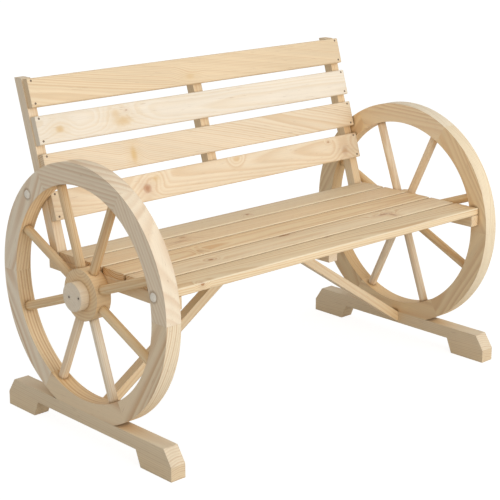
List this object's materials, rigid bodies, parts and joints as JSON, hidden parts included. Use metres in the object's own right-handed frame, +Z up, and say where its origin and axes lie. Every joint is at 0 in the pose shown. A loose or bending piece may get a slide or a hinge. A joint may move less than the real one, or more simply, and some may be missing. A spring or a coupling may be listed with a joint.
{
  "type": "wagon wheel bench",
  "caption": "Rustic slatted garden bench of plain softwood with a leaning back, carried between spoked cart wheels that stand on wooden runners.",
  "frame": {"origin": "on the floor, under the middle of the bench, in the plane of the two wheel axles", "axes": "+X along the bench to the sitter's left, +Y to the back, +Z up"},
  "size_m": [1.1548, 0.614, 0.8028],
  "materials": {
    "slat_pine": "planed, unfinished",
    "frame_pine": "planed, unfinished",
    "wheel_pine": "planed and sanded, unfinished",
    "runner_pine": "planed, unfinished",
    "zinc_steel": "zinc plated, satin"
  },
  "bodies": {
    "root": {"back_middle_batten": "frame_pine", "back_slat_1": "slat_pine", "back_slat_2": "slat_pine", "back_slat_3": "slat_pine", "back_slat_4": "slat_pine", "coach_screws": "zinc_steel", "left_back_upright": "frame_pine", "left_felloe_1": "wheel_pine", "left_felloe_2": "wheel_pine", "left_felloe_3": "wheel_pine", "left_felloe_4": "wheel_pine", "left_felloe_5": "wheel_pine", "left_felloe_6": "wheel_pine", "left_hub": "wheel_pine", "left_hub_cap": "wheel_pine", "left_knee_brace": "frame_pine", "left_runner": "runner_pine", "left_seat_rail": "frame_pine", "left_spoke_1": "wheel_pine", "left_spoke_2": "wheel_pine", "left_spoke_3": "wheel_pine", "left_spoke_4": "wheel_pine", "left_spoke_5": "wheel_pine", "left_spoke_6": "wheel_pine", "left_spoke_7": "wheel_pine", "left_spoke_8": "wheel_pine", "right_back_upright": "frame_pine", "right_felloe_1": "wheel_pine", "right_felloe_2": "wheel_pine", "right_felloe_3": "wheel_pine", "right_felloe_4": "wheel_pine", "right_felloe_5": "wheel_pine", "right_felloe_6": "wheel_pine", "right_hub": "wheel_pine", "right_hub_cap": "wheel_pine", "right_knee_brace": "frame_pine", "right_runner": "runner_pine", "right_seat_rail": "frame_pine", "right_spoke_1": "wheel_pine", "right_spoke_2": "wheel_pine", "right_spoke_3": "wheel_pine", "right_spoke_4": "wheel_pine", "right_spoke_5": "wheel_pine", "right_spoke_6": "wheel_pine", "right_spoke_7": "wheel_pine", "right_spoke_8": "wheel_pine", "seat_middle_bearer": "frame_pine", "seat_slat_1": "slat_pine", "seat_slat_2": "slat_pine", "seat_slat_3": "slat_pine", "seat_slat_4": "slat_pine", "seat_slat_5": "slat_pine", "wheel_tongues": "wheel_pine"}
  },
  "joints": []
}
